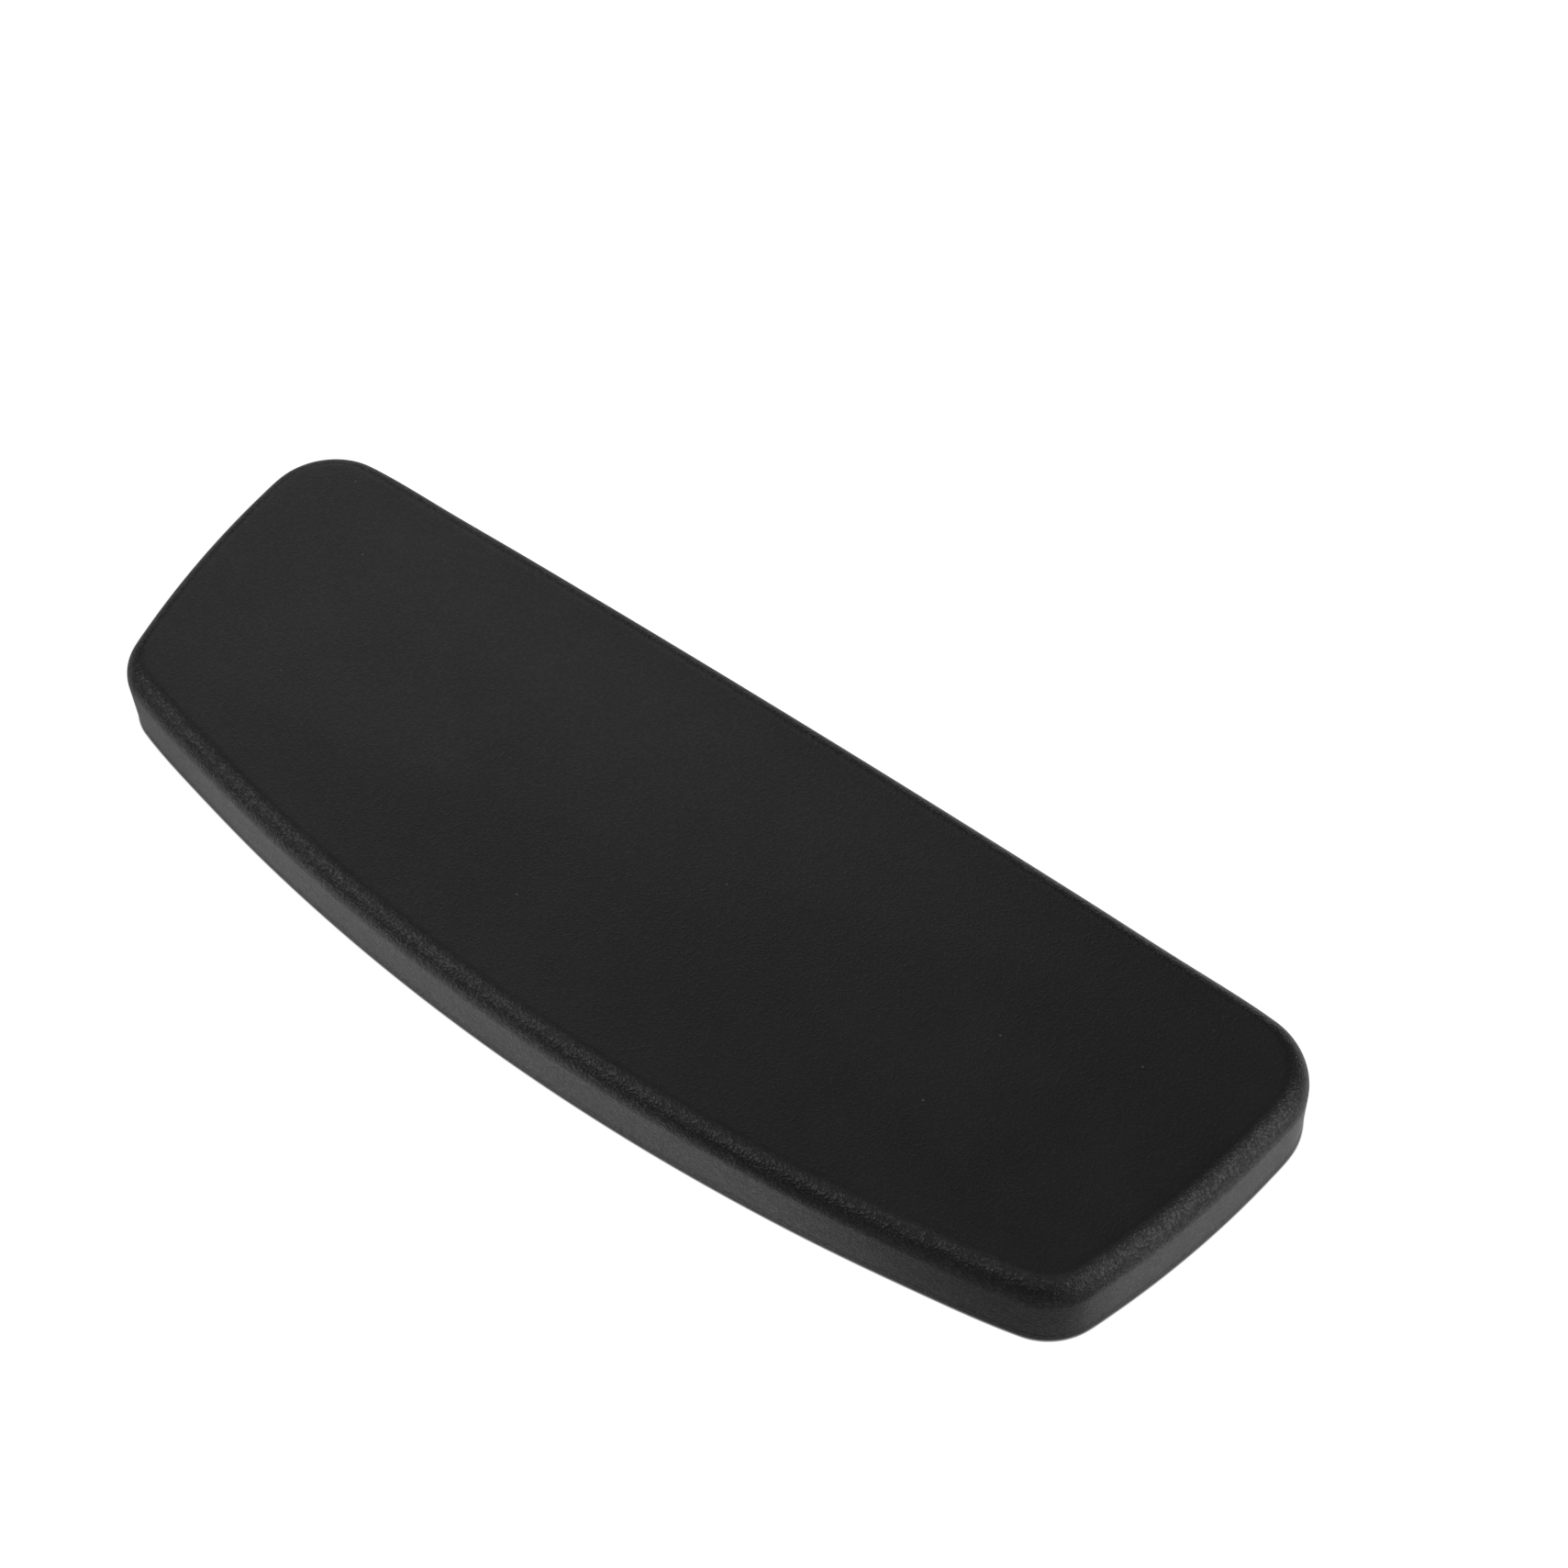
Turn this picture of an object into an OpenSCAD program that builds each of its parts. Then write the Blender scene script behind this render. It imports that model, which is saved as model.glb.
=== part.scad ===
// Chair armrest pad, moulded in self-skinning polyurethane round a ribbed plastic carrier.
// +X runs along the pad, +Y points to its bowed outer side and +Z up to the elbow face.
// The origin is on the underside, at the centre of the four threaded inserts.

/* [Plan outline] */
// Distance between the corners of the straight inner side, measured before they are rounded
inner_chord = 254.4; // [225:0.1:285]
// Distance between the corners of the bowed outer side, measured before they are rounded
outer_chord = 232.3; // [205:0.1:250]
// Distance between the inner and outer corner lines
chord_depth = 71.8; // [66:0.1:90]
// How far the inner side bows out
inner_bow = 1.9; // [0.5:0.1:5]
// How far each end bows out
end_bow = 3.3; // [1:0.1:6]
// How far the outer side bows out
outer_bow = 14.5; // [5:0.1:20]
// Radius of the two inner corners
inner_corner_r = 15.5; // [13:0.1:20]
// Radius of the two outer corners
outer_corner_r = 12.9; // [11:0.1:20]

/* [Rim section] */
// Height of the pad from the underside to the edge of the elbow face
pad_thickness = 16.6; // [16:0.1:24]
// Radius of the shoulder between the side wall and the elbow face
shoulder_r = 5; // [4:0.1:8]
// How far the middle of the elbow face stands above its edge
crown_height = 0.8; // [0.2:0.1:1.5]
// Radius of the lower edge
lower_edge_r = 0.5; // [0.3:0.1:1.4]
// Thickness of the dense skin
skin_t = 1.6; // [1.2:0.1:2.2]
// Width of the lip that the skin turns under the pad
lip_width = 10; // [9:0.1:10.5]

/* [Carrier plate] */
// Height of the web's lower face above the underside
web_z = 5.2; // [4:0.1:6]
// Thickness of the web
web_t = 2.4; // [2:0.1:3]
// How far the web's edge reaches past the rim into the foam
flange_reach = 4.6; // [3:0.1:5]
// Thickness of the rim wall
rim_t = 2.4; // [1.6:0.1:3]
// Thickness of the ribs
rib_t = 1.8; // [1.2:0.1:2.4]
// How far the plain ribs stop short of the underside
rib_recess = 0.8; // [0:0.1:2]
// Length of the notches that lock the flange into the foam
notch_length = 9; // [6:0.5:12]
// Depth of those notches
notch_depth = 2.6; // [1.5:0.1:3]
// Least distance between the middles of neighbouring notches
notch_pitch = 24; // [18:1:40]

/* [Fixing] */
// Distance between insert centres along the pad
insert_spacing_x = 100; // [80:1:110]
// Distance between insert centres across the pad
insert_spacing_y = 45; // [36:1:45]
// Outer radius of the bosses that hold the inserts
boss_r = 7; // [6.5:0.1:7.2]
// Height of the closed bosses above the underside
boss_height = 11.4; // [11:0.1:12]
// Outer radius of an insert's knurled barrel
insert_r = 4.2; // [4:0.1:4.5]
// Radius of an insert's flange
insert_flange_r = 5.2; // [4.8:0.1:5.8]
// Thickness of an insert's flange
insert_flange_t = 1; // [0.8:0.1:1.4]
// Length of an insert
insert_length = 9.6; // [9:0.1:10]
// Depth of the groove round the middle of the barrel
insert_groove = 0.5; // [0.3:0.1:0.7]
// Radius of the insert's bore, which is an M6 thread measured at its crests
insert_bore_r = 2.5; // [2:0.1:3]

/* [Hidden] */
$fn = 72;
// Gap left at each bonded face, so that neighbouring solids never overlap
bond_gap = 0.05;
// Overlap that lets pieces of one solid fuse and cutters pass right through
bite = 1;
// Smallest corner radius that an inset outline keeps
smallest_r = 2;
// Steps along each corner, side and rounded edge
corner_steps = 8;
side_steps = 12;
shoulder_steps = 6;
lower_edge_steps = 3;
// Rings on the crowned face, as shares of the way out from its middle
crown_rings = [0.05, 0.35, 0.7];
foam_gap = skin_t + bond_gap;
web_top = web_z + web_t;
rim_inset = lip_width + bond_gap;
flange_inset = rim_inset - flange_reach;
rim_inner_inset = rim_inset + rim_t;
// The cross ribs stand a quarter of the insert spacing apart, so that one passes through each boss
rib_pitch = insert_spacing_x / 4;
cross_ribs = floor((inner_chord / 2 - rim_inner_inset) / rib_pitch);
// Plastic left over the end of each blind pocket
pocket_roof = 0.8;
// Chamfer at the mouth of an insert's bore and at its far end
insert_chamfer = 0.5;
// Distance from the middle of the pad's width to its inner and outer corner lines
inner_y = -(chord_depth + outer_bow - inner_bow) / 2;
outer_y = inner_y + chord_depth;
corners = [
    [-inner_chord / 2, inner_y],
    [inner_chord / 2, inner_y],
    [outer_chord / 2, outer_y],
    [-outer_chord / 2, outer_y]
];
side_bow = [inner_bow, end_bow, outer_bow, end_bow];
corner_r = [inner_corner_r, inner_corner_r, outer_corner_r, outer_corner_r];
insert_places = [
    for (x = [-1, 1], y = [-1, 1])
        [x * insert_spacing_x / 2, y * insert_spacing_y / 2]
];

// ---- Plan outline: four bowed sides and four round corners, all tangent ----

function side_vector(k) = corners[(k + 1) % 4] - corners[k];
function side_middle(k) = (corners[(k + 1) % 4] + corners[k]) / 2;
function outward(k) =
    let (u = side_vector(k) / norm(side_vector(k)))
    [u[1], -u[0]];

// Radius and centre of each side's arc, from its chord and its bow
side_r = [
    for (k = [0:3])
        (pow(norm(side_vector(k)) / 2, 2) + pow(side_bow[k], 2)) / (2 * side_bow[k])
];
side_c = [for (k = [0:3]) side_middle(k) - outward(k) * (side_r[k] - side_bow[k])];

// Radius of corner k's arc on the outline moved inwards by inset
function round_r(k, inset) = max(corner_r[k] - inset, smallest_r);

// Centre of that arc, which is the point that lets it touch both sides
function round_c(k, inset) =
    let (
        before = (k + 3) % 4,
        to_before = side_r[before] - inset - round_r(k, inset),
        to_after = side_r[k] - inset - round_r(k, inset),
        between = side_c[k] - side_c[before],
        gap = norm(between),
        along = (gap * gap + to_before * to_before - to_after * to_after) / (2 * gap),
        across = sqrt(to_before * to_before - along * along),
        u = between / gap,
        foot = side_c[before] + u * along,
        reach = [-u[1], u[0]] * across
    )
    norm(foot + reach - corners[k]) < norm(foot - reach - corners[k])
        ? foot + reach
        : foot - reach;

function heading(v) = atan2(v[1], v[0]);

// Points round an arc from one heading to another, without the last one
function arc_points(centre, radius, from, to, steps) =
    let (sweep = (to - from + 360) % 360)
    [
        for (i = [0:steps - 1])
            let (a = from + sweep * i / steps)
            centre + radius * [cos(a), sin(a)]
    ];

// The outline moved inwards by inset, from the first corner round
function outline(inset) = [
    for (k = [0:3])
        let (
            here = round_c(k, inset),
            next = round_c((k + 1) % 4, inset),
            arriving = heading(here - side_c[(k + 3) % 4]),
            leaving = heading(here - side_c[k]),
            ending = heading(next - side_c[k])
        )
        each concat(
            arc_points(here, round_r(k, inset), arriving, leaving, corner_steps),
            arc_points(side_c[k], side_r[k] - inset, leaving, ending, side_steps)
        )
];

// ---- Rings: the outline at a height, and the closed surface through a list of them ----

function ring(inset, z) = [for (p = outline(inset)) [p[0], p[1], z]];

// Rings over the crowned face, whose edge is the outline at inset and height z
function crown(inset, z) = [
    for (share = crown_rings)
        [for (p = outline(inset)) [p[0] * share, p[1] * share, z + crown_rise(share)]]
];
function crown_rise(share) = crown_height * pow(1 - share * share, 2);

// Rings down a rounded edge that ends in a wall, the arc's centre being r in from both
function shoulder(inset, top, r) = [
    for (i = [0:shoulder_steps])
        let (a = 90 * (1 - i / shoulder_steps))
        ring(inset + r * (1 - cos(a)), top - r * (1 - sin(a)))
];
function lower_edge(r) = [
    for (i = [0:lower_edge_steps])
        let (a = 90 * i / lower_edge_steps)
        ring(r * (1 - cos(a)), r * (1 - sin(a)))
];
function reversed(list) = [for (i = [len(list) - 1:-1:0]) list[i]];

// Closed solid through rings that run from the top face, outside and down, to the last face
module ring_solid(rings) {
    n = len(rings[0]);
    last = len(rings) - 1;
    walls = [
        for (i = [0:last - 1], j = [0:n - 1])
            let (a = i * n + j, b = i * n + (j + 1) % n, c = b + n, d = a + n)
            each [[a, b, c], [a, c, d]]
    ];
    first_face = [for (j = [n - 1:-1:0]) j];
    last_face = [for (j = [0:n - 1]) last * n + j];
    polyhedron([for (r = rings) each r], concat([first_face], walls, [last_face]));
}

// Straight-walled block on an inset outline, between two heights
module outline_block(inset, z0, z1) {
    translate([0, 0, z0]) linear_extrude(z1 - z0) polygon(outline(inset));
}

// ---- The pieces ----

// Dense skin: elbow face, shoulder, side wall and the lip turned under the pad
module outer_skin() {
    outside = concat(
        crown(shoulder_r, pad_thickness),
        shoulder(0, pad_thickness, shoulder_r),
        lower_edge(lower_edge_r)
    );
    lip = [ring(lip_width, 0), ring(lip_width, skin_t)];
    inside = concat(
        crown(shoulder_r, pad_thickness - skin_t),
        shoulder(skin_t, pad_thickness - skin_t, shoulder_r - skin_t),
        [ring(skin_t, skin_t)]
    );
    color([0.045, 0.045, 0.045]) ring_solid(concat(outside, lip, reversed(inside)));
}

// Where children go: the middle of each notch in the flange's edge, facing outwards
module at_notches() {
    for (k = [0:3]) {
        chord = norm(side_vector(k));
        count = floor(chord / notch_pitch);
        half_sweep = asin(chord / 2 / side_r[k]);
        for (i = [1:count]) {
            a = heading(outward(k)) + half_sweep * (2 * i / (count + 1) - 1);
            translate(side_c[k]) rotate(a) translate([side_r[k] - flange_inset, 0, 0])
                children();
        }
    }
}

// Block that cuts a notch, or fills one when shrink is the gap left round it
module notch_block(shrink, z0, z1) {
    width = notch_length - 2 * shrink;
    translate([shrink - notch_depth, -width / 2, z0])
        cube([notch_depth - shrink + bite, width, z1 - z0]);
}

// Cellular core between the skin and the carrier, keyed round the carrier's flange
module foam_core() {
    top = pad_thickness - foam_gap;
    outside = concat(
        crown(shoulder_r, top),
        shoulder(foam_gap, top, shoulder_r - foam_gap),
        [ring(foam_gap, foam_gap)]
    );
    around_carrier = [
        ring(rim_inset - bond_gap, foam_gap),
        ring(rim_inset - bond_gap, web_z - bond_gap),
        ring(flange_inset - bond_gap, web_z - bond_gap),
        ring(flange_inset - bond_gap, web_top + bond_gap)
    ];
    color([0.16, 0.16, 0.15]) difference() {
        union() {
            ring_solid(concat(outside, around_carrier));
            at_notches() notch_block(bond_gap, web_z - bite, web_top + bite);
        }
        for (p = insert_places)
            translate([p[0], p[1], web_z])
                cylinder(r = boss_r + bond_gap, h = boss_height + bond_gap - web_z);
    }
}

// Ribs inside the rim. Those that pass through the bosses reach the underside
module ribs() {
    intersection() {
        outline_block(rim_inset + rim_t / 2, 0, web_z + web_t / 2);
        union() {
            for (i = [-cross_ribs:cross_ribs])
                translate([i * rib_pitch, 0, 0])
                    rib_bar(2 * chord_depth, abs(i) == 2 ? 0 : rib_recess);
            for (i = [-1:1])
                translate([0, i * insert_spacing_y / 2, 0])
                    rotate(90) rib_bar(inner_chord, i == 0 ? rib_recess : 0);
        }
    }
}

// One rib along Y, centred on the origin, from z0 up into the web
module rib_bar(length, z0) {
    translate([-rib_t / 2, -length / 2, z0]) cube([rib_t, length, web_top - z0]);
}

// Rigid moulding: web with a notched flange, rim wall, ribs and four blind bosses
module carrier_plate() {
    color([0.1, 0.1, 0.1]) difference() {
        union() {
            difference() {
                outline_block(flange_inset, web_z, web_top);
                at_notches() notch_block(0, web_z - bite, web_top + bite);
            }
            difference() {
                outline_block(rim_inset, 0, web_z + web_t / 2);
                outline_block(rim_inner_inset, -bite, web_z + web_t);
            }
            ribs();
            for (p = insert_places) translate(p) cylinder(r = boss_r, h = boss_height);
        }
        for (p = insert_places) translate(p) insert_pocket();
    }
}

// Blind pocket that the insert is moulded into, with a seat for its flange
module insert_pocket() {
    depth = boss_height - pocket_roof;
    translate([0, 0, -bite]) cylinder(r = insert_r + bond_gap, h = depth + bite);
    translate([0, 0, -bite])
        cylinder(r = insert_flange_r + bond_gap, h = insert_flange_t + bond_gap + bite);
}

// Half section of an insert, from the mouth of its bore round the outside
function insert_section() =
    let (
        groove_r = insert_r - insert_groove,
        groove_z = insert_flange_t + (insert_length - insert_flange_t) / 2,
        mouth_r = insert_bore_r + insert_chamfer
    )
    [
        [mouth_r, 0],
        [insert_flange_r, 0],
        [insert_flange_r, insert_flange_t],
        [insert_r, insert_flange_t],
        [insert_r, groove_z - 2 * insert_groove],
        [groove_r, groove_z - insert_groove],
        [groove_r, groove_z + insert_groove],
        [insert_r, groove_z + 2 * insert_groove],
        [insert_r, insert_length - insert_chamfer],
        [insert_r - insert_chamfer, insert_length],
        [mouth_r, insert_length],
        [insert_bore_r, insert_length - insert_chamfer],
        [insert_bore_r, insert_chamfer]
    ];

// Brass inserts, each a turned sleeve with a flange, two knurled bands and a groove between
module threaded_inserts() {
    color([0.72, 0.57, 0.3])
        for (p = insert_places) translate(p) rotate_extrude() polygon(insert_section());
}

outer_skin();
foam_core();
carrier_plate();
threaded_inserts();
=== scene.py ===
"""Chair armrest pad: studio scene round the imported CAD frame. Metres, row frame, +Z up."""

import math

import bpy
import numpy as np
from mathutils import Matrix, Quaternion, Vector, geometry, noise


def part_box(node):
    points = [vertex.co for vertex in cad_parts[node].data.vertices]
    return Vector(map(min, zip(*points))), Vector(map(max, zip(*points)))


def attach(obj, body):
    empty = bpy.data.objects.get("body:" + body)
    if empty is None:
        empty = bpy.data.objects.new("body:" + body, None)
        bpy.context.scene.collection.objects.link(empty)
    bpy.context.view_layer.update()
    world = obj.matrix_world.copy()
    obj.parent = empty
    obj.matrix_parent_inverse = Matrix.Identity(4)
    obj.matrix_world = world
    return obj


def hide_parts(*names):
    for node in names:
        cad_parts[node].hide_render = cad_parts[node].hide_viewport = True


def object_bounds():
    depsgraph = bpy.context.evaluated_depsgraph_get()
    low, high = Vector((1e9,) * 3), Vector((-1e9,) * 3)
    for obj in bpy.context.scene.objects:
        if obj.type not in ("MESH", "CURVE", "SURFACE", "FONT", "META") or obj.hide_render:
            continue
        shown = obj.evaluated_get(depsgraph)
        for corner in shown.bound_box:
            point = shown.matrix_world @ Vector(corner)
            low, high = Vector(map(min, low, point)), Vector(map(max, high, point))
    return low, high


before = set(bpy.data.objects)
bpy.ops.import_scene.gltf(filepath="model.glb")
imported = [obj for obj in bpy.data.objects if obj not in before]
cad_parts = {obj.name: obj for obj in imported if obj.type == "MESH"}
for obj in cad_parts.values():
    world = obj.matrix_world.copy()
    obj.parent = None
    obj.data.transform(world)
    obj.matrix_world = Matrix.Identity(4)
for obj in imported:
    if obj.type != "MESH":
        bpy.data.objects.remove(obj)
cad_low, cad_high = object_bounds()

MM = 0.001

# Section of the moulded pad
SHOULDER_R = 5.0 * MM
LOWER_EDGE_R = 0.5 * MM
SKIN_T = 1.6 * MM
LIP_WIDTH = 10 * MM
LIP_EDGE_R = 0.4 * MM
INNER_CHAMFER = 0.5 * MM
CROWN = 0.8 * MM

# Witness bead that the mould's parting line leaves round the wall
BEAD_Z = 1.2 * MM
BEAD_HEIGHT = 0.5 * MM
BEAD_DEPTH = 0.015 * MM

# Foam core: mesh size, how far it stays inside its CAD solid, and the depth of its open cells
FOAM_VOXEL = 1.1 * MM
FOAM_SHRINK = 0.12 * MM
CELL_DEPTH = 0.25 * MM
CELL_SIZE = 1.6 * MM

# Brass inserts: M6 thread, flange and knurled barrel
THREAD_PITCH = 1.0 * MM
THREAD_CREST_R = 2.5 * MM
THREAD_ROOT_R = 3.0 * MM
FLANGE_R = 5.2 * MM
FLANGE_T = 1.0 * MM
FLANGE_CHAMFER = 0.12 * MM
BARREL_R = 4.2 * MM
INSERT_CHAMFER = 0.5 * MM
KNURL_DEPTH = 0.22 * MM
KNURL_COUNT = 24
GROOVE_DEPTH = 0.5 * MM
INSERT_STEPS = 72

# Mould grain of the skin: pits along one metre, then depth and sparkle on the sides, then the
# share of both that is left on the elbow face, and the tilts between which it eases off
GRAIN_PER_METRE = 2400
GRAIN_DEPTH = 0.08 * MM
GRAIN_SPARK = 0.55
TOP_GRAIN = 0.3
SIDE_NORMAL_Z = 0.93
TOP_NORMAL_Z = 0.998

# Points round every ring of the skin, rings on the crowned face, and the distance under which
# two points are the same
LOOP_POINTS = 720
CROWN_RINGS = 26
SAME_POINT = 0.01 * MM

# Camera, matched to the pad that lies flat in the photograph
AIM = Vector((-0.0014, -0.03757, 0.0))
CAMERA_AZIMUTH = 131.374
CAMERA_ELEVATION = 53.142
CAMERA_ROLL = -3.22
CAMERA_DISTANCE = 0.60267
CAMERA_LENS = 69.55
SENSOR_WIDTH = 36.0

# Softboxes of the studio: azimuth, elevation and half width in degrees, then brightness
SOFTBOXES = (
    (195, 8, 19, 0.94),
    (213, 35, 19, 0.87),
    (165, 8, 19, 0.28),
    (177, 35, 19, 0.34),
    (180, 62, 26, 0.35),
    (33, 35, 19, 0.75),
    (62, 38, 9, 0.55),
    (60, 62, 26, 0.27),
    (-39, 35, 19, 0.58),
    (0, -90, 70, 0.6),
    (150, -50, 30, 2.2),
    (-25, -40, 20, 2.2),
)
SOFTBOX_EDGE = 12
ROOM_LEVEL = 0.004
BACKDROP_LEVEL = 1.0

# Floor: just under the pad, with a painted contact shadow in a thin line where the pad meets it.
# The painted glow that only the gloss sees is off in a painted shadow patch on the camera's side,
# and FAR_GLOW is its share behind the pad, a painted darker far side
FLOOR_GAP = 0.02 * MM
HOLE_INSET = 0.6 * MM
CONTACT_SHADOW_FROM = 0.05 * MM
CONTACT_SHADOW_TO = 0.3 * MM
FLOOR_MIDDLE = 0.4
FLOOR_RADIUS = 4.0
FLOOR_TONE = 0.55
FLOOR_GLOW = 0.88
GLOSS_GLOW = 0.38
FAR_GLOW = 0.4
FAR_FROM = -0.07
FAR_TO = -0.02
PAINTED_SHADOW_CENTRE = (-0.199, 0.263, 0.0)
PAINTED_SHADOW_FROM = 0.243
PAINTED_SHADOW_TO = 0.262


# ---- Plan outline, read from the CAD skin ----


def cad_outline(node):
    """The corner points of a convex node seen from above, counter-clockwise."""
    points = [v.co.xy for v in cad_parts[node].data.vertices]
    hull = geometry.convex_hull_2d(points)
    loop = np.array([points[i][:] for i in hull])
    loop = loop[np.linalg.norm(loop - np.roll(loop, 1, axis=0), axis=1) > SAME_POINT]
    after = np.roll(loop, -1, axis=0)
    area = np.sum(loop[:, 0] * after[:, 1] - loop[:, 1] * after[:, 0])
    return loop if area > 0 else loop[::-1]


def smooth_loop(points, count):
    """A closed cubic spline through the points: evenly spaced places and outward normals."""
    n = len(points)
    steps = np.linalg.norm(np.roll(points, -1, axis=0) - points, axis=1)
    before = np.roll(steps, 1)
    system = np.zeros((n, n))
    rows = np.arange(n)
    system[rows, rows] = 2 * (before + steps)
    system[rows, (rows - 1) % n] = before
    system[rows, (rows + 1) % n] = steps
    slopes = (np.roll(points, -1, axis=0) - points) / steps[:, None]
    bends = np.linalg.solve(system, 6 * (slopes - np.roll(slopes, 1, axis=0)))
    knots = np.concatenate([[0], np.cumsum(steps)])
    at = np.linspace(0, knots[-1], count, endpoint=False)
    i = np.clip(np.searchsorted(knots, at, side="right") - 1, 0, n - 1)
    j = (i + 1) % n
    h = steps[i][:, None]
    u = (at - knots[i])[:, None]
    v = h - u
    places = (
        bends[i] * v**3 / (6 * h)
        + bends[j] * u**3 / (6 * h)
        + (points[i] / h - bends[i] * h / 6) * v
        + (points[j] / h - bends[j] * h / 6) * u
    )
    along = (
        -bends[i] * v**2 / (2 * h)
        + bends[j] * u**2 / (2 * h)
        - (points[i] / h - bends[i] * h / 6)
        + (points[j] / h - bends[j] * h / 6)
    )
    along /= np.linalg.norm(along, axis=1)[:, None]
    return places, np.column_stack([along[:, 1], -along[:, 0]])


# ---- Meshes made of rings ----


def mesh_object(name, verts, faces):
    mesh = bpy.data.meshes.new(name)
    mesh.from_pydata([tuple(v) for v in verts], [], faces)
    mesh.validate()
    mesh.update()
    obj = bpy.data.objects.new(name, mesh)
    bpy.context.scene.collection.objects.link(obj)
    return obj


def shade_smooth(obj):
    obj.data.polygons.foreach_set("use_smooth", [True] * len(obj.data.polygons))


def ring_faces(rings, count, closed=False):
    faces = []
    last = rings if closed else rings - 1
    for i in range(last):
        a0 = i * count
        b0 = ((i + 1) % rings) * count
        for j in range(count):
            k = (j + 1) % count
            faces.append((a0 + j, b0 + j, b0 + k, a0 + k))
    return faces


def ring_solid(name, rings):
    """A closed solid through rings that run from the top face, outside and down, to the last face."""
    count = len(rings[0])
    faces = ring_faces(len(rings), count)
    faces.append(tuple(range(count)))
    start = (len(rings) - 1) * count
    faces.append(tuple(range(start + count - 1, start - 1, -1)))
    return mesh_object(name, np.concatenate(rings), faces)


def arc(steps, first=0.0, last=90.0):
    return [math.radians(first + (last - first) * i / steps) for i in range(steps + 1)]


# ---- Moulded skin ----


def skin_rings(top, outline, normals):
    def ring(inset, z):
        plan = outline - normals * inset
        return np.column_stack([plan, np.full(len(plan), z)])

    def crown(z, shares):
        edge = outline - normals * SHOULDER_R
        return [
            np.column_stack([edge * s, np.full(len(edge), z + CROWN * (1 - s * s) ** 2)])
            for s in shares
        ]

    shares = [(i + 0.5) / CROWN_RINGS for i in range(CROWN_RINGS)]
    rings = crown(top, shares)
    for a in arc(28):
        rings.append(ring(SHOULDER_R * (1 - math.sin(a)), top - SHOULDER_R * (1 - math.cos(a))))
    wall_low = BEAD_Z + BEAD_HEIGHT
    for z in np.linspace(top - SHOULDER_R, wall_low, 12)[1:]:
        rings.append(ring(0, z))
    for a in arc(8, 0, 180)[1:]:
        rings.append(ring(-BEAD_DEPTH * math.sin(a), BEAD_Z + BEAD_HEIGHT * (1 + math.cos(a)) / 2))
    for a in arc(8):
        rings.append(ring(LOWER_EDGE_R * (1 - math.cos(a)), LOWER_EDGE_R * (1 - math.sin(a))))
    for inset in np.linspace(LOWER_EDGE_R, LIP_WIDTH - LIP_EDGE_R, 10)[1:]:
        rings.append(ring(inset, 0))
    for a in arc(5)[1:]:
        inset = LIP_WIDTH - LIP_EDGE_R * (1 - math.sin(a))
        rings.append(ring(inset, LIP_EDGE_R * (1 - math.cos(a))))
    rings.append(ring(LIP_WIDTH, SKIN_T))
    inner_r = SHOULDER_R - SKIN_T
    rings.append(ring(SKIN_T + INNER_CHAMFER, SKIN_T))
    rings.append(ring(SKIN_T, SKIN_T + INNER_CHAMFER))
    for a in reversed(arc(12)):
        rings.append(
            ring(SKIN_T + inner_r * (1 - math.sin(a)), top - SKIN_T - inner_r * (1 - math.cos(a)))
        )
    rings += crown(top - SKIN_T, reversed(shares[::3]))
    return rings


def make_skin():
    low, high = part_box("outer_skin")
    outline, normals = smooth_loop(cad_outline("outer_skin"), LOOP_POINTS)
    skin = ring_solid("pad_skin", skin_rings(high.z - CROWN, outline, normals))
    shade_smooth(skin)
    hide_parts("outer_skin")
    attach(skin, "root")
    return skin, outline, normals


# ---- Foam core ----


def make_foam():
    """The CAD core remeshed finely, drawn in a little and pitted with open cells."""
    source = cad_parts["foam_core"]
    foam = bpy.data.objects.new("foam_block", source.data.copy())
    bpy.context.scene.collection.objects.link(foam)
    foam.matrix_world = source.matrix_world
    remesh = foam.modifiers.new("even faces", "REMESH")
    remesh.mode = "VOXEL"
    remesh.voxel_size = FOAM_VOXEL
    graph = bpy.context.evaluated_depsgraph_get()
    mesh = bpy.data.meshes.new_from_object(foam.evaluated_get(graph))
    foam.modifiers.clear()
    foam.data = mesh
    moves = []
    for v in mesh.vertices:
        cell = noise.noise(v.co / CELL_SIZE)
        moves.append(v.normal * (FOAM_SHRINK + CELL_DEPTH * max(cell, 0.0)))
    for v, move in zip(mesh.vertices, moves):
        v.co -= move
    mesh.materials.clear()
    shade_smooth(foam)
    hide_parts("foam_core")
    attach(foam, "root")
    return foam


# ---- Threaded inserts ----


def triangle_wave(x):
    return abs(2 * (x - math.floor(x)) - 1)


def thread_radius(turn, z, length):
    """Bore radius: a helical thread that opens into a chamfer at each end."""
    depth = min(max(1.6 * triangle_wave(z / THREAD_PITCH - turn) - 0.3, 0.0), 1.0)
    radius = THREAD_CREST_R + (THREAD_ROOT_R - THREAD_CREST_R) * depth
    chamfer = THREAD_CREST_R + INSERT_CHAMFER - min(z, length - z)
    return max(radius, chamfer)


def barrel_radius(turn, z, length):
    """Barrel radius: diamond knurling with a plain groove round the middle."""
    middle = FLANGE_T + (length - FLANGE_T) / 2
    groove = GROOVE_DEPTH * min(max(2 - abs(z - middle) / GROOVE_DEPTH, 0.0), 1.0)
    lead = z / (4 * BARREL_R)
    ridge = max(triangle_wave(KNURL_COUNT * (turn + s * lead)) for s in (-1, 1))
    knurl = KNURL_DEPTH * max(ridge - 0.5, 0.0) * 2
    chamfer = max(INSERT_CHAMFER - (length - z), 0.0)
    return BARREL_R - max(groove, knurl, chamfer)


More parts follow.
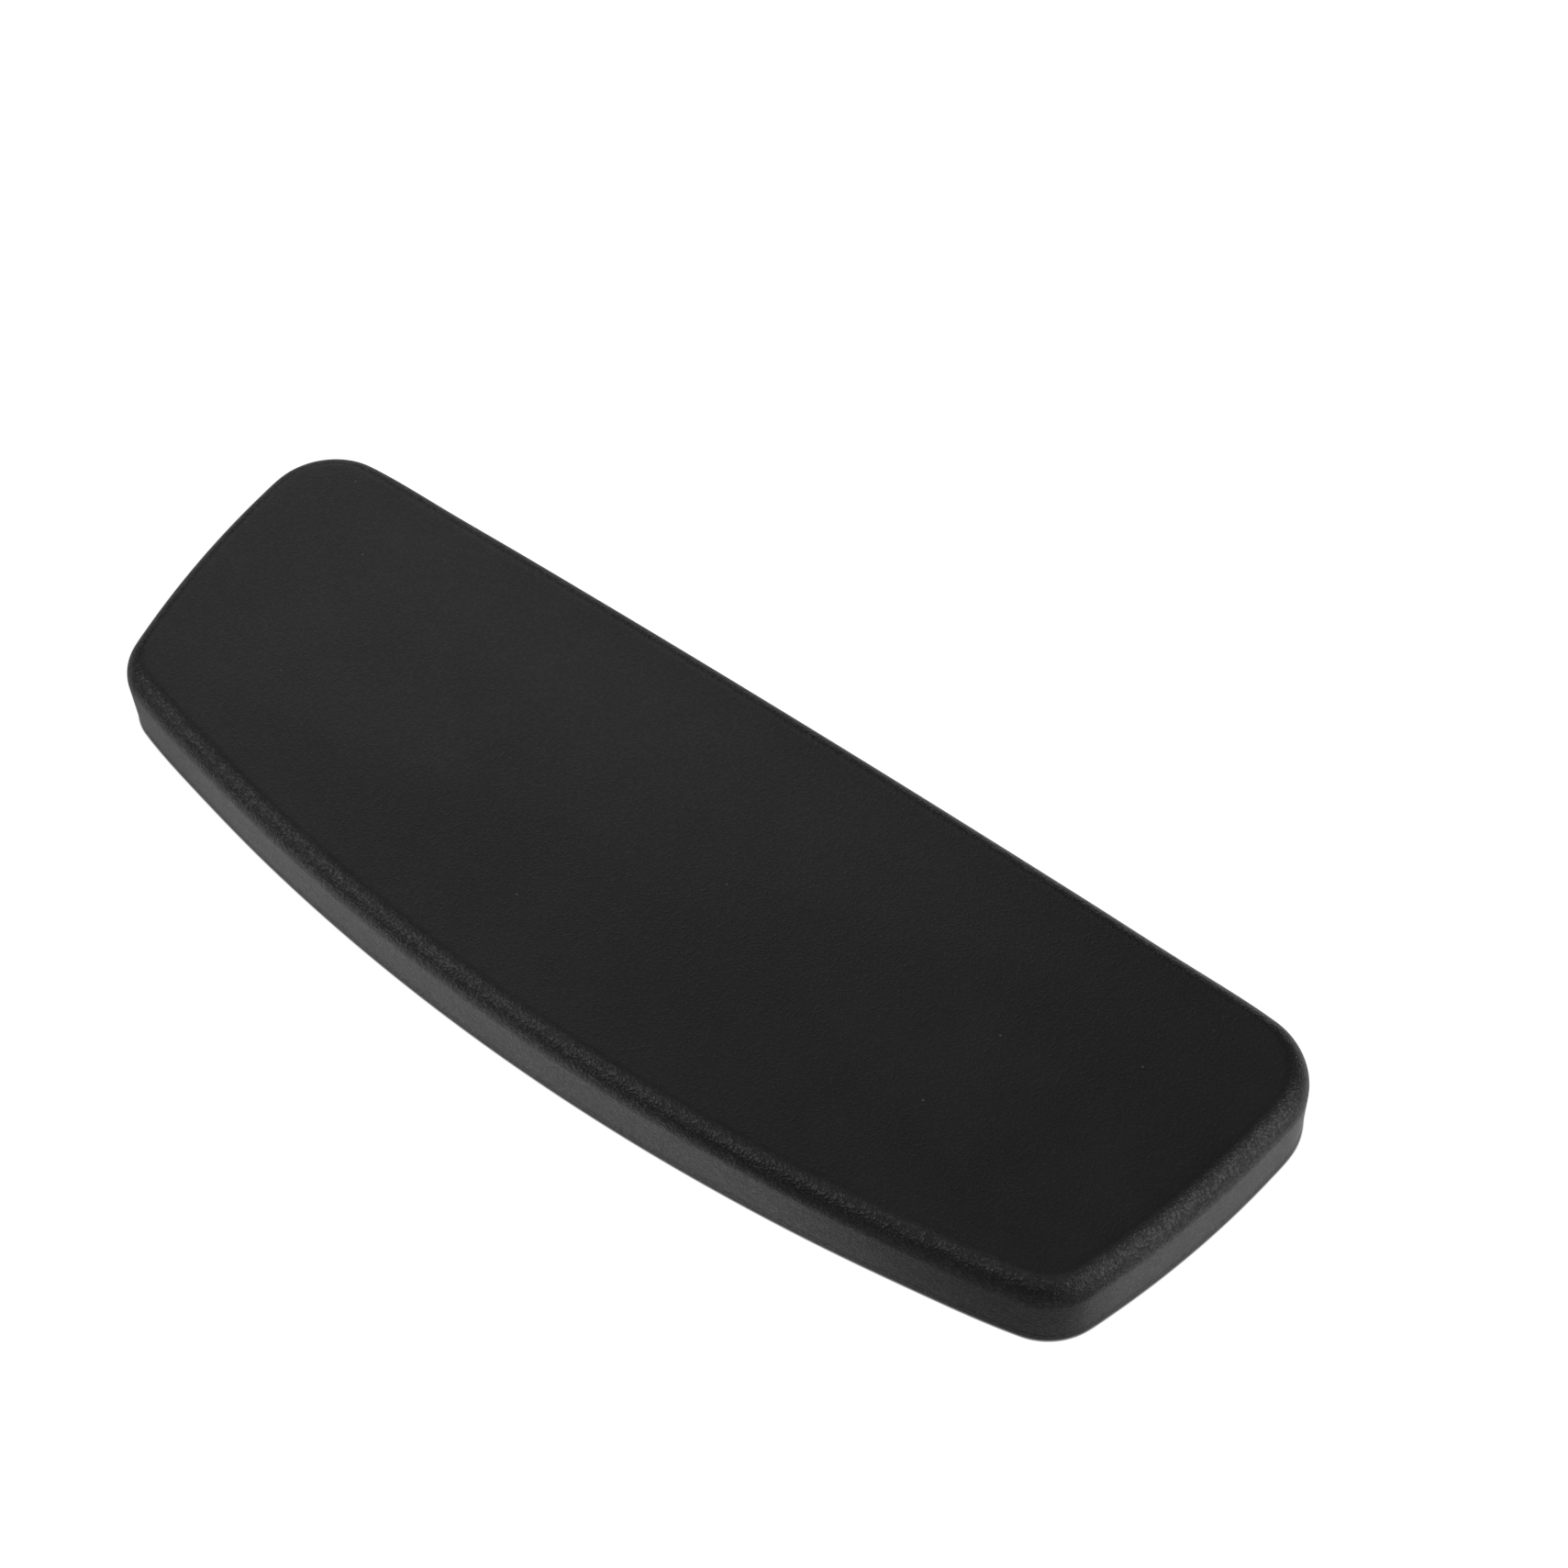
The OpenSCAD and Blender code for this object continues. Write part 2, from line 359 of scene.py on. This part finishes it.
def insert_rings(length):
    def ring(radius, z):
        turns = [i / INSERT_STEPS for i in range(INSERT_STEPS)]
        radii = [radius(t, z, length) if callable(radius) else radius for t in turns]
        return np.array(
            [
                (r * math.cos(2 * math.pi * t), r * math.sin(2 * math.pi * t), z)
                for r, t in zip(radii, turns)
            ]
        )

    rings = [ring(barrel_radius, z) for z in np.linspace(length, FLANGE_T, 36)]
    rings += [
        ring(FLANGE_R - FLANGE_CHAMFER, FLANGE_T),
        ring(FLANGE_R, FLANGE_T - FLANGE_CHAMFER),
        ring(FLANGE_R, FLANGE_CHAMFER),
        ring(FLANGE_R - FLANGE_CHAMFER, 0),
    ]
    rings += [ring(thread_radius, z) for z in np.linspace(0, length, 78)]
    return rings


def make_inserts():
    low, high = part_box("threaded_inserts")
    rings = insert_rings(high.z - low.z)
    faces = ring_faces(len(rings), INSERT_STEPS, closed=True)
    verts = []
    all_faces = []
    for x in (low.x + FLANGE_R, high.x - FLANGE_R):
        for y in (low.y + FLANGE_R, high.y - FLANGE_R):
            start = len(verts)
            verts += [v + (x, y, low.z) for v in np.concatenate(rings)]
            all_faces += [tuple(i + start for i in face) for face in faces]
    inserts = mesh_object("brass_inserts", verts, all_faces)
    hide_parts("threaded_inserts")
    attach(inserts, "root")
    return inserts


# ---- Node materials ----


class Nodes:
    """Short names for building a node tree."""

    def __init__(self, name):
        self.material = bpy.data.materials.new(name)
        self.material.use_nodes = True
        self.tree = self.material.node_tree
        self.bsdf = self.tree.nodes["Principled BSDF"]
        self.output = self.tree.nodes["Material Output"]

    def add(self, kind, **values):
        node = self.tree.nodes.new("ShaderNode" + kind)
        for key, value in values.items():
            if hasattr(node, key):
                setattr(node, key, value)
            else:
                node.inputs[key].default_value = value
        return node

    def link(self, a, b):
        self.tree.links.new(a, b)

    def noise(self, coords, scale, detail=2.0, roughness=0.5):
        node = self.add("TexNoise")
        node.inputs["Scale"].default_value = scale
        node.inputs["Detail"].default_value = detail
        node.inputs["Roughness"].default_value = roughness
        self.link(coords, node.inputs["Vector"])
        return node.outputs["Fac"]

    def ramp(self, value, low, high, low_out, high_out, smooth=False):
        node = self.add("MapRange", interpolation_type="SMOOTHSTEP" if smooth else "LINEAR")
        node.inputs["From Min"].default_value = low
        node.inputs["From Max"].default_value = high
        node.inputs["To Min"].default_value = low_out
        node.inputs["To Max"].default_value = high_out
        self.link(value, node.inputs["Value"])
        return node.outputs["Result"]

    def math(self, operation, a, b):
        node = self.add("Math", operation=operation)
        for socket, value in zip(node.inputs, (a, b)):
            if isinstance(value, (int, float)):
                socket.default_value = value
            else:
                self.link(value, socket)
        return node.outputs["Value"]

    def grey(self, value):
        node = self.add("CombineColor")
        for socket in node.inputs[:3]:
            self.link(value, socket)
        return node.outputs["Color"]

    def bump(self, height, distance, strength=1.0, normal=None):
        node = self.add("Bump")
        node.inputs["Strength"].default_value = strength
        node.inputs["Distance"].default_value = distance
        self.link(height, node.inputs["Height"])
        if normal is not None:
            self.link(normal, node.inputs["Normal"])
        return node.outputs["Normal"]


def skin_material():
    """Satin black polyurethane: fine mould grain, faint mottling and a few specks of dust."""
    n = Nodes("satin_polyurethane")
    coords = n.add("TexCoord").outputs["Object"]
    tone = n.ramp(n.noise(coords, 35, 3), 0.3, 0.7, 0.020, 0.026)
    dust = n.add("TexVoronoi", feature="F1")
    dust.inputs["Scale"].default_value = 110
    n.link(coords, dust.inputs["Vector"])
    speck = n.ramp(dust.outputs["Distance"], 0.018, 0.03, 0.10, 0.0)
    n.link(n.grey(n.math("ADD", tone, speck)), n.bsdf.inputs["Base Color"])
    n.link(n.ramp(n.noise(coords, 120, 3), 0.3, 0.7, 0.29, 0.34), n.bsdf.inputs["Roughness"])
    grain = n.add("TexVoronoi", feature="F1")
    grain.inputs["Scale"].default_value = GRAIN_PER_METRE
    n.link(coords, grain.inputs["Vector"])
    facing = n.add("SeparateXYZ")
    n.link(n.add("TexCoord").outputs["Normal"], facing.inputs["Vector"])
    fade = n.ramp(facing.outputs["Z"], SIDE_NORMAL_Z, TOP_NORMAL_Z, 1.0, TOP_GRAIN)
    pits = n.math("MULTIPLY", n.math("POWER", grain.outputs["Distance"], 2.0), fade)
    n.link(n.bump(pits, GRAIN_DEPTH, 1.0), n.bsdf.inputs["Normal"])
    cell = n.add("SeparateXYZ")
    n.link(grain.outputs["Color"], cell.inputs["Vector"])
    mean_square = 1 / 3
    spark = n.math("SUBTRACT", n.math("POWER", cell.outputs["X"], 2.0), mean_square)
    spark = n.math("MULTIPLY", spark, n.math("MULTIPLY", fade, GRAIN_SPARK))
    n.link(n.math("ADD", spark, 0.5), n.bsdf.inputs["Specular IOR Level"])
    return n.material


def foam_material():
    n = Nodes("cellular_foam")
    coords = n.add("TexCoord").outputs["Object"]
    cells = n.add("TexVoronoi", feature="F1")
    cells.inputs["Scale"].default_value = 1400
    n.link(coords, cells.inputs["Vector"])
    # Painted shade: darker towards the middle of each cell, where the bump sinks in
    tone = n.ramp(cells.outputs["Distance"], 0.1, 0.7, 0.05, 0.12)
    n.link(n.grey(tone), n.bsdf.inputs["Base Color"])
    n.bsdf.inputs["Roughness"].default_value = 0.9
    n.link(n.bump(cells.outputs["Distance"], 0.3 * MM, 0.8), n.bsdf.inputs["Normal"])
    return n.material


def carrier_material():
    n = Nodes("glass_filled_nylon")
    coords = n.add("TexCoord").outputs["Object"]
    tone = n.ramp(n.noise(coords, 90, 4, 0.6), 0.3, 0.7, 0.020, 0.032)
    n.link(n.grey(tone), n.bsdf.inputs["Base Color"])
    n.link(n.ramp(n.noise(coords, 300, 2), 0.3, 0.7, 0.42, 0.58), n.bsdf.inputs["Roughness"])
    edge = n.add("Bevel")
    edge.inputs["Radius"].default_value = 0.35 * MM
    grain = n.noise(coords, 2500, 2)
    n.link(n.bump(grain, 0.04 * MM, 0.5, edge.outputs["Normal"]), n.bsdf.inputs["Normal"])
    return n.material


def brass_material():
    n = Nodes("turned_brass")
    coords = n.add("TexCoord").outputs["Object"]
    n.bsdf.inputs["Base Color"].default_value = (0.72, 0.53, 0.24, 1)
    n.bsdf.inputs["Metallic"].default_value = 1.0
    n.link(n.ramp(n.noise(coords, 900, 3), 0.3, 0.7, 0.27, 0.33), n.bsdf.inputs["Roughness"])
    return n.material


def floor_material():
    """Pale and softly glowing, with a painted shadow patch and a painted darker far side that only
    the gloss sees, and a painted contact shadow round the pad.
    """
    n = Nodes("pale_floor")
    n.bsdf.inputs["Base Color"].default_value = (FLOOR_TONE, FLOOR_TONE, FLOOR_TONE, 1)
    n.bsdf.inputs["Roughness"].default_value = 0.9
    n.bsdf.inputs["Emission Color"].default_value = (1, 1, 1, 1)
    place = n.add("NewGeometry")
    # Painted shadow: the glow that only the gloss sees is off in a round patch on the camera's side
    reach = n.add("VectorMath", operation="DISTANCE")
    reach.inputs[1].default_value = PAINTED_SHADOW_CENTRE
    n.link(place.outputs["Position"], reach.inputs[0])
    glow_with_painted_shadow = n.ramp(reach.outputs["Value"], PAINTED_SHADOW_FROM, PAINTED_SHADOW_TO, 0.0, GLOSS_GLOW, smooth=True)
    # Painted shade: behind the pad the glow that only the gloss sees falls to a share of itself
    toward = n.add("VectorMath", operation="DOT_PRODUCT")
    toward.inputs[1].default_value = bearing(CAMERA_AZIMUTH, 0)
    n.link(place.outputs["Position"], toward.inputs[0])
    painted_far_shade = n.ramp(toward.outputs["Value"], FAR_FROM, FAR_TO, FAR_GLOW, 1.0)
    seen = n.add("LightPath").outputs["Is Camera Ray"]
    direct = n.math("MULTIPLY", seen, FLOOR_GLOW)
    unseen = n.math("SUBTRACT", 1.0, seen)
    glossy = n.math("MULTIPLY", n.math("MULTIPLY", glow_with_painted_shadow, painted_far_shade), unseen)
    either = n.math("ADD", direct, glossy)
    # Painted contact shadow: the glow is off in a thin line where the pad meets the floor
    lit = n.add("Attribute", attribute_name="lit").outputs["Fac"]
    n.link(n.math("MULTIPLY", either, lit), n.bsdf.inputs["Emission Strength"])
    clear = n.add("BsdfTransparent")
    sides = n.add("MixShader")
    n.link(place.outputs["Backfacing"], sides.inputs["Fac"])
    n.link(n.bsdf.outputs["BSDF"], sides.inputs[1])
    n.link(clear.outputs["BSDF"], sides.inputs[2])
    n.link(sides.outputs["Shader"], n.output.inputs["Surface"])
    n.material.cycles.emission_sampling = "NONE"
    return n.material


# ---- Stage, lights and camera ----


def make_floor(outline, normals):
    """A wide pale floor with a hole hidden under the pad, so that the underside is lit from below."""
    count = len(outline)
    hole = outline - normals * HOLE_INSET
    angles = np.arctan2(hole[:, 1], hole[:, 0])
    spokes = np.column_stack([np.cos(angles), np.sin(angles)])
    rim = FLOOR_RADIUS * spokes
    mid = FLOOR_MIDDLE * spokes
    rings = [hole, outline + normals * CONTACT_SHADOW_FROM, outline + normals * CONTACT_SHADOW_TO, mid, rim]
    verts = np.concatenate(rings)
    verts = np.column_stack([verts, np.full(len(verts), cad_low.z - FLOOR_GAP)])
    floor = mesh_object("floor", verts, ring_faces(len(rings), count))
    # Painted contact shadow: no glow from the hole out to just past the pad's edge, then fading in
    lit = floor.data.attributes.new("lit", "FLOAT", "POINT")
    lit.data.foreach_set("value", np.repeat([0.0, 0.0, 1.0, 1.0, 1.0], count))
    floor.data.materials.append(floor_material())


def bearing(azimuth, elevation):
    azimuth, elevation = math.radians(azimuth), math.radians(elevation)
    return Vector(
        (
            math.cos(azimuth) * math.cos(elevation),
            math.sin(azimuth) * math.cos(elevation),
            math.sin(elevation),
        )
    )


def make_world():
    """Round softboxes in a dim room for the light; an even pale backdrop for the camera."""
    world = bpy.data.worlds.new("studio")
    bpy.context.scene.world = world
    world.use_nodes = True
    tree = world.node_tree
    look = tree.nodes.new("ShaderNodeTexCoord").outputs["Generated"]
    total = None
    for azimuth, elevation, half_width, level in SOFTBOXES:
        toward = tree.nodes.new("ShaderNodeVectorMath")
        toward.operation = "DOT_PRODUCT"
        toward.inputs[1].default_value = bearing(azimuth, elevation)
        tree.links.new(look, toward.inputs[0])
        disc = tree.nodes.new("ShaderNodeMapRange")
        disc.interpolation_type = "SMOOTHSTEP"
        disc.inputs["From Min"].default_value = math.cos(math.radians(half_width + SOFTBOX_EDGE))
        disc.inputs["From Max"].default_value = math.cos(math.radians(half_width - SOFTBOX_EDGE))
        disc.inputs["To Max"].default_value = level
        tree.links.new(toward.outputs["Value"], disc.inputs["Value"])
        add = tree.nodes.new("ShaderNodeMath")
        add.inputs[1].default_value = ROOM_LEVEL
        tree.links.new(disc.outputs["Result"], add.inputs[0])
        if total:
            tree.links.new(total, add.inputs[1])
        total = add.outputs["Value"]
    seen = tree.nodes.new("ShaderNodeLightPath").outputs["Is Camera Ray"]
    level = tree.nodes.new("ShaderNodeMix")
    level.inputs["B"].default_value = BACKDROP_LEVEL
    tree.links.new(seen, level.inputs["Factor"])
    tree.links.new(total, level.inputs["A"])
    tree.links.new(level.outputs["Result"], tree.nodes["Background"].inputs["Strength"])
    tree.nodes["Background"].inputs["Color"].default_value = (1, 1, 1, 1)


def make_camera():
    data = bpy.data.cameras.new("camera")
    data.sensor_width = SENSOR_WIDTH
    data.lens = CAMERA_LENS
    data.clip_start = 0.01
    camera = bpy.data.objects.new("camera", data)
    bpy.context.scene.collection.objects.link(camera)
    back = bearing(CAMERA_AZIMUTH, CAMERA_ELEVATION)
    camera.location = AIM + back * CAMERA_DISTANCE
    camera.rotation_mode = "QUATERNION"
    roll = Quaternion((0, 0, 1), math.radians(CAMERA_ROLL))
    camera.rotation_quaternion = (-back).to_track_quat("-Z", "Y") @ roll
    bpy.context.scene.camera = camera


skin, outline, normals = make_skin()
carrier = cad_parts["carrier_plate"]
carrier.data.materials.clear()
for piece, material in (
    (skin, skin_material()),
    (make_foam(), foam_material()),
    (carrier, carrier_material()),
    (make_inserts(), brass_material()),
):
    piece.data.materials.append(material)

make_floor(outline, normals)
make_world()
make_camera()
bpy.context.scene.view_settings.view_transform = "Standard"
bpy.context.scene.cycles.max_bounces = 4
bpy.context.scene.cycles.denoising_prefilter = "NONE"
